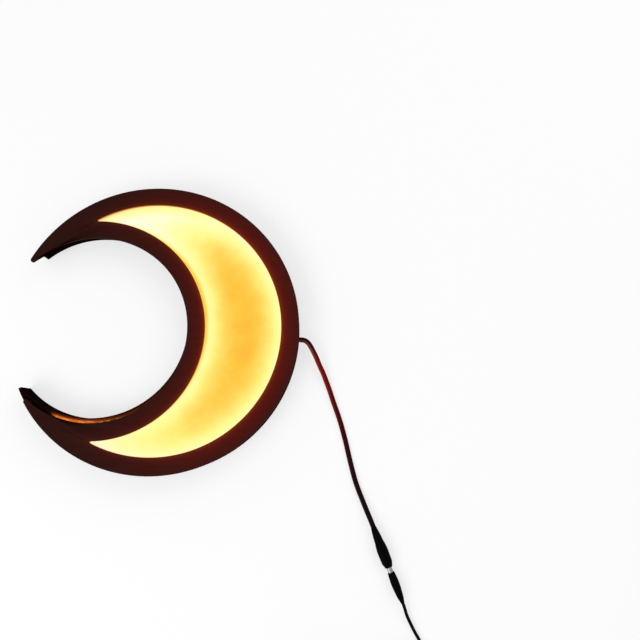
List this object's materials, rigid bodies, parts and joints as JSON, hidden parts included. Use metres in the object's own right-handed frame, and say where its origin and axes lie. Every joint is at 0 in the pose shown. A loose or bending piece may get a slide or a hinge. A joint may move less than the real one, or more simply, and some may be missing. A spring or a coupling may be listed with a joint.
{
  "type": "crescent moon led shadow box",
  "caption": "Crescent moon light box of bent strips and a flat board with a crescent window, lit inside by LED tape, with its lead, inline jack, plug and plug-in supply.",
  "frame": {"origin": "middle of the light box's footprint on the surface that it lies on, its lead and supply left out", "axes": "+Z out of the front of the light box, +X away from the open side of the crescent, +Y towards the upper horn in the picture"},
  "size_m": [0.4237, 0.5565, 0.042],
  "materials": {
    "stained_board": "fibreboard with a dark red-brown stain, satin",
    "stained_strip": "thin strip with a dark brown stain, satin",
    "back_board": "bare fibreboard, matt",
    "raw_wood": "bare softwood, sawn",
    "reflector": "smooth pale sheet, satin, lit warm from its edges",
    "glue": "set hot-melt glue, satin",
    "led_tape": "white flexible circuit tape with warm white lights",
    "solder": "bright solder",
    "wire_red": "thin red insulation",
    "wire_black": "thin black insulation",
    "hanger_plate": "thin stamped steel with a brassy plating",
    "nail": "small plated nail",
    "lead": "flat twin lead, one red core and one black core",
    "connector_black": "moulded black plastic, satin",
    "contact": "nickel plated brass",
    "cord_black": "round black flexible cord, satin",
    "tie": "black plastic covered wire tie",
    "adapter_case": "moulded black plastic with a fine texture",
    "blade": "nickel plated brass",
    "circuit_board": "green circuit board",
    "transformer_tape": "wound core under yellow tape",
    "capacitor": "sleeved aluminium can"
  },
  "bodies": {
    "box": {"front_plate": "stained_board", "outer_wall_upper": "stained_strip", "outer_wall_lower": "stained_strip", "inner_wall": "stained_strip", "back_panel": "back_board", "reflector_sheet": "reflector", "horn_block_upper": "raw_wood", "horn_block_lower": "raw_wood", "splice_block": "raw_wood", "glue_dab": "glue", "led_tape": "led_tape", "solder_red": "solder", "solder_black": "solder", "inner_wire_red": "wire_red", "inner_wire_black": "wire_black", "hanger": "hanger_plate", "hanger_nail_left": "nail", "hanger_nail_right": "nail", "lead": "lead", "jack_body": "connector_black", "jack_sleeve": "contact", "jack_pin": "contact"},
    "supply": {"plug_body": "connector_black", "plug_barrel": "contact", "plug_insulator": "connector_black", "plug_contact": "contact", "supply_cord": "cord_black", "supply_coil": "cord_black", "supply_cord_end": "cord_black", "coil_tie": "tie", "adapter_strain_relief": "connector_black", "adapter_lower_shell": "adapter_case", "adapter_upper_shell": "adapter_case", "adapter_blade_left": "blade", "adapter_blade_right": "blade", "adapter_board": "circuit_board", "adapter_transformer": "transformer_tape", "adapter_capacitor_input": "capacitor", "adapter_capacitor_output": "capacitor"}
  },
  "joints": [
    {"name": "plug_pull", "type": "slide", "parent": "box", "child": "supply", "axis": [0.3469, -0.9379, 0], "range_m": [-0.005, 0.0037]}
  ]
}
